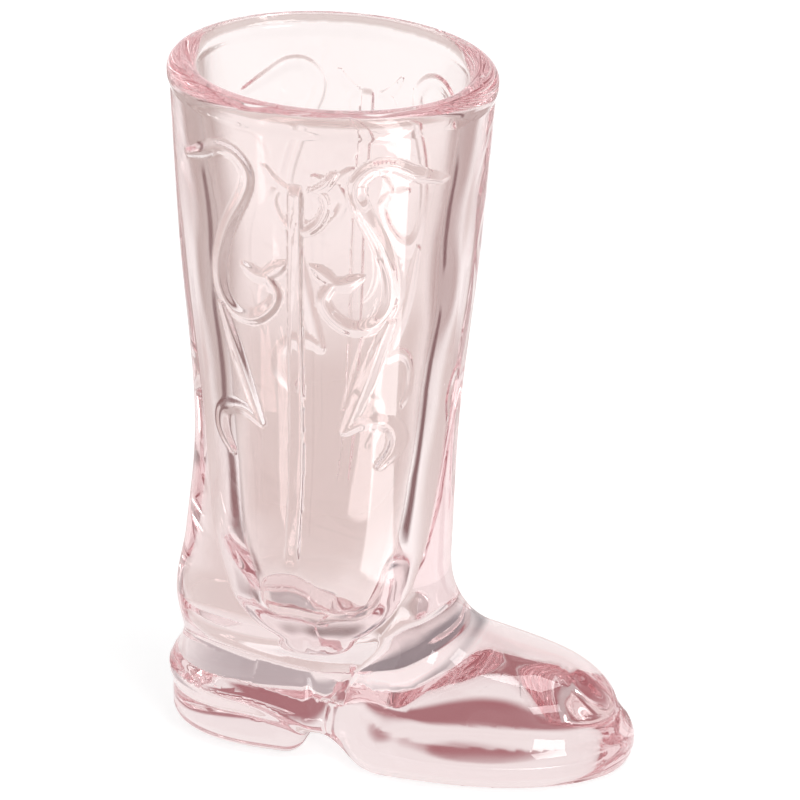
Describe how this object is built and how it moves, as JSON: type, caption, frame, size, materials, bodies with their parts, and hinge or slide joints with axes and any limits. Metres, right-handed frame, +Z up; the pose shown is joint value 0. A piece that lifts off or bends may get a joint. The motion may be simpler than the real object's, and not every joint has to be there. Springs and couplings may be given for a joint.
{
  "type": "boot shot glass",
  "caption": "Pressed pink glass shot glass shaped like a tall western boot, with a hollow leg, a rounded rim, a welted sole, a low heel and raised scroll ornament.",
  "frame": {"origin": "on the surface that the boot stands on, under the middle of its length and width", "axes": "+Z up through the leg to the rim, +X from the heel to the toe, +Y to the boot's left side"},
  "size_m": [0.0666, 0.0366, 0.1014],
  "materials": {
    "pink_glass": "clear pale pink pressed glass, fire-polished"
  },
  "bodies": {
    "root": {"glass_boot": "pink_glass"}
  },
  "joints": []
}
